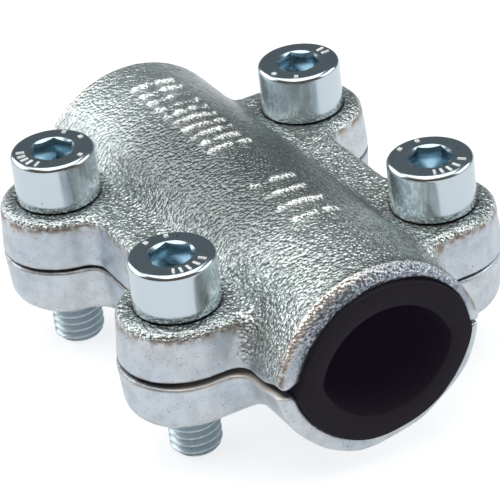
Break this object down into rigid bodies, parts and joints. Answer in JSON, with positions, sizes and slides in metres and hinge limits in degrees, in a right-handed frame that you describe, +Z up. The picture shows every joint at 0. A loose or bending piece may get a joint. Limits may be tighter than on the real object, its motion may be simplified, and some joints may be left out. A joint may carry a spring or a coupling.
{
  "type": "pipe repair clamp",
  "caption": "Two cast half shells drawn together round a rubber sleeve by hexagon socket cap screws, to seal a leak in a straight pipe.",
  "frame": {"origin": "middle of the bore, on the parting plane between the two shells", "axes": "+X along the pipe towards the front end, +Y across the pipe towards the right-hand screws, +Z up out of the screw heads"},
  "size_m": [0.0808, 0.063, 0.033],
  "materials": {
    "casting": "bright zinc plating over a rough cast skin, smooth on the side walls",
    "screw": "bright blue-white zinc plating",
    "rubber": "matt black moulded rubber"
  },
  "bodies": {
    "lower_shell": {"lower_shell": "casting"},
    "upper_shell": {"upper_shell": "casting"},
    "seal_sleeve": {"seal_sleeve": "rubber"},
    "screw_front_left": {"screw_front_left": "screw"},
    "screw_front_right": {"screw_front_right": "screw"},
    "screw_rear_left": {"screw_rear_left": "screw"},
    "screw_rear_right": {"screw_rear_right": "screw"}
  },
  "joints": [
    {"name": "shell_lift", "type": "slide", "parent": "lower_shell", "child": "upper_shell", "axis": [0, 0, 1], "range_m": [0, 0.02]},
    {"name": "screw_front_left_turn", "type": "hinge", "parent": "upper_shell", "child": "screw_front_left", "pos_m": [0.0195, -0.0217, 0.0081], "axis": [0, 0, 1], "range_deg": [0, 5760]},
    {"name": "screw_front_right_turn", "type": "hinge", "parent": "upper_shell", "child": "screw_front_right", "pos_m": [0.0195, 0.0217, 0.0081], "axis": [0, 0, 1], "range_deg": [0, 5760]},
    {"name": "screw_rear_left_turn", "type": "hinge", "parent": "upper_shell", "child": "screw_rear_left", "pos_m": [-0.0195, -0.0217, 0.0081], "axis": [0, 0, 1], "range_deg": [0, 5760]},
    {"name": "screw_rear_right_turn", "type": "hinge", "parent": "upper_shell", "child": "screw_rear_right", "pos_m": [-0.0195, 0.0217, 0.0081], "axis": [0, 0, 1], "range_deg": [0, 5760]},
    {"name": "sleeve_slide", "type": "slide", "parent": "lower_shell", "child": "seal_sleeve", "axis": [1, 0, 0], "range_m": [-0.08, 0.08]}
  ],
  "couplings": [
    {"joint": "screw_front_left_turn", "follows": "shell_lift", "rad_per_m": 5026.5},
    {"joint": "screw_front_right_turn", "follows": "shell_lift", "rad_per_m": 5026.5},
    {"joint": "screw_rear_left_turn", "follows": "shell_lift", "rad_per_m": 5026.5},
    {"joint": "screw_rear_right_turn", "follows": "shell_lift", "rad_per_m": 5026.5}
  ]
}
